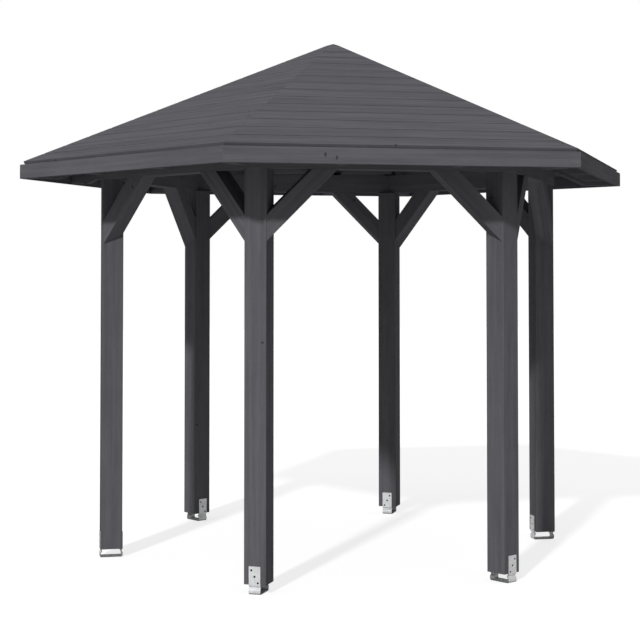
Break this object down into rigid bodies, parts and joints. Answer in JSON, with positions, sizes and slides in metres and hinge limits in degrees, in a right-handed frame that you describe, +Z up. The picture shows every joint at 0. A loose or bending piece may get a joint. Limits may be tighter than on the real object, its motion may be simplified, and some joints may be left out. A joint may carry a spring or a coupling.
{
  "type": "garden gazebo",
  "caption": "Open hexagonal timber garden gazebo: square posts in U-shaped steel bases, a braced ring of beams and a low boarded pyramid roof with fascia.",
  "frame": {"origin": "middle of the hexagonal plan, at ground level under the post bases", "axes": "+Z up; +X from the middle to the right-hand corner post; the front side faces -Y"},
  "size_m": [3.5306, 3.0576, 2.8752],
  "materials": {
    "stained_spruce": "matt anthracite stain",
    "roof_boards": "matt anthracite stain",
    "galvanised_steel": "hot-dip galvanised"
  },
  "bodies": {
    "root": {"post_right": "stained_spruce", "post_back_right": "stained_spruce", "post_back_left": "stained_spruce", "post_left": "stained_spruce", "post_front_left": "stained_spruce", "post_front_right": "stained_spruce", "braces_right": "stained_spruce", "braces_back_right": "stained_spruce", "braces_back_left": "stained_spruce", "braces_left": "stained_spruce", "braces_front_left": "stained_spruce", "braces_front_right": "stained_spruce", "hip_rafter_right": "stained_spruce", "hip_rafter_back_right": "stained_spruce", "hip_rafter_back_left": "stained_spruce", "hip_rafter_left": "stained_spruce", "hip_rafter_front_left": "stained_spruce", "hip_rafter_front_right": "stained_spruce", "ring_beam_right_back": "stained_spruce", "ring_beam_back": "stained_spruce", "ring_beam_left_back": "stained_spruce", "ring_beam_left_front": "stained_spruce", "ring_beam_front": "stained_spruce", "ring_beam_right_front": "stained_spruce", "fascia_right_back": "stained_spruce", "fascia_back": "stained_spruce", "fascia_left_back": "stained_spruce", "fascia_left_front": "stained_spruce", "fascia_front": "stained_spruce", "fascia_right_front": "stained_spruce", "roof_deck_right_back": "roof_boards", "roof_deck_back": "roof_boards", "roof_deck_left_back": "roof_boards", "roof_deck_left_front": "roof_boards", "roof_deck_front": "roof_boards", "roof_deck_right_front": "roof_boards", "post_base_right": "galvanised_steel", "post_base_back_right": "galvanised_steel", "post_base_back_left": "galvanised_steel", "post_base_left": "galvanised_steel", "post_base_front_left": "galvanised_steel", "post_base_front_right": "galvanised_steel", "jack_rafters": "stained_spruce", "roof_hub": "stained_spruce"}
  },
  "joints": []
}
